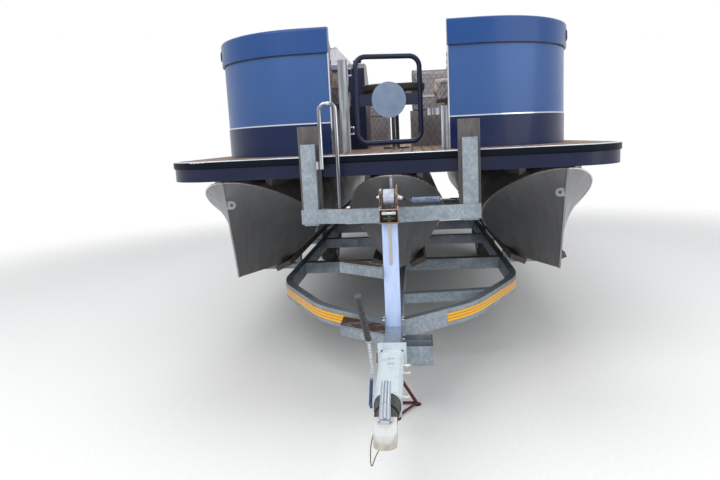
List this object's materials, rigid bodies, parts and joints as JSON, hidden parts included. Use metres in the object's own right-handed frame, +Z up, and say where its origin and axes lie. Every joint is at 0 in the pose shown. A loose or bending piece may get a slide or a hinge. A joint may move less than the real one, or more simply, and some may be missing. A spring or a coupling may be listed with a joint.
{
  "type": "pontoon boat on a trailer",
  "caption": "Triple-float pontoon boat with fenced deck, lounges and helm, standing on its single-axle road trailer with winch post and bow stops.",
  "frame": {"origin": "on the ground, at the middle of the footprint of boat and trailer", "axes": "+X to the boat's port side, +Y towards the stern, +Z up; the coupling and the bow point to -Y"},
  "size_m": [2.5699, 7.795, 2.195],
  "materials": {
    "float_aluminium": "satin",
    "deck_frame_aluminium": "mill",
    "deck_vinyl": "teak-look woven vinyl",
    "edge_trim": "polished",
    "fascia_navy": "gloss",
    "fence_navy": "gloss",
    "fence_blue": "gloss",
    "cap_blue": "gloss",
    "gate_navy": "gloss",
    "bare_aluminium": "brushed",
    "polished_steel": "polished",
    "seat_base": "moulded",
    "upholstery": "quilted marine vinyl",
    "console_navy": "gloss",
    "tinted_screen": "tinted",
    "black_plastic": "moulded",
    "table_dark": "gloss",
    "galvanised": "hot-dip galvanised",
    "timber": "weathered",
    "tyre": "rubber",
    "zinc_yellow": "zinc plated",
    "strap_white": "woven",
    "rubber": "ribbed",
    "coupling_grey": "worn",
    "coupling_white": "worn",
    "stand_red": "worn",
    "cable_black": "sheathed wire"
  },
  "bodies": {
    "root": {"float_starboard": "float_aluminium", "float_centre": "float_aluminium", "float_port": "float_aluminium", "deck_frame": "deck_frame_aluminium", "riser_rails": "deck_frame_aluminium", "deck_panel": "deck_vinyl", "deck_nosing": "edge_trim", "deck_fascia": "fascia_navy", "fence_band_starboard": "fence_navy", "fence_band_port": "fence_navy", "fence_panel_starboard": "fence_blue", "fence_panel_port": "fence_blue", "fence_cap_starboard": "cap_blue", "fence_cap_port": "cap_blue", "gate_posts": "polished_steel", "stern_gate_posts": "polished_steel", "lounge_bases": "seat_base", "lounge_seats": "upholstery", "lounge_backs": "upholstery", "stern_bench_bases": "seat_base", "stern_bench_seats": "upholstery", "stern_bench_backs": "upholstery", "helm_console": "console_navy", "windscreen": "tinted_screen", "helm_seat_base": "seat_base", "helm_seat_cushions": "upholstery", "table_top": "table_dark", "table_pedestal": "polished_steel", "motor_bracket": "float_aluminium", "drawbar": "galvanised", "front_frame": "galvanised", "chassis_rails": "galvanised", "cross_members": "galvanised", "bunks": "timber", "bunk_brackets": "galvanised", "axle": "galvanised", "mudguards": "black_plastic", "winch_post": "galvanised", "bow_stop_frame": "galvanised", "stop_timbers": "timber", "handrail": "polished_steel", "winch_frame": "zinc_yellow", "winch_strap": "strap_white", "winch_crank": "polished_steel", "drawbar_fittings": "galvanised", "coupling_housing": "coupling_grey", "coupling_bellows": "rubber", "coupling_head": "coupling_white", "brake_lever": "rubber", "parking_stand": "stand_red", "light_board": "black_plastic", "breakaway_cable": "cable_black"},
    "bow_gate_leaf": {"bow_gate": "gate_navy", "gate_disc": "bare_aluminium"},
    "stern_gate_leaf": {"stern_gate": "gate_navy"},
    "helm_wheel": {"steering_wheel": "black_plastic"},
    "wheel_port": {"tyre_port": "tyre", "rim_port": "galvanised"},
    "wheel_starboard": {"tyre_starboard": "tyre", "rim_starboard": "galvanised"}
  },
  "joints": [
    {"name": "bow_gate_hinge", "type": "hinge", "parent": "root", "child": "bow_gate_leaf", "pos_m": [-0.221, -2.1675, 1.677], "axis": [0, 0, 1], "range_deg": [-17, 68]},
    {"name": "stern_gate_hinge", "type": "hinge", "parent": "root", "child": "stern_gate_leaf", "pos_m": [-0.266, 3.6685, 1.677], "axis": [0, 0, 1], "range_deg": [0, 90]},
    {"name": "steering_wheel_turn", "type": "hinge", "parent": "root", "child": "helm_wheel", "pos_m": [-0.635, -0.2855, 1.85], "axis": [0, 0.9135, 0.4067], "range_deg": [-540, 540]},
    {"name": "wheel_port_spin", "type": "hinge", "parent": "root", "child": "wheel_port", "pos_m": [0.935, 1.4725, 0.2625], "axis": [1, 0, 0], "continuous": true},
    {"name": "wheel_starboard_spin", "type": "hinge", "parent": "root", "child": "wheel_starboard", "pos_m": [-0.935, 1.4725, 0.2625], "axis": [1, 0, 0], "continuous": true}
  ]
}
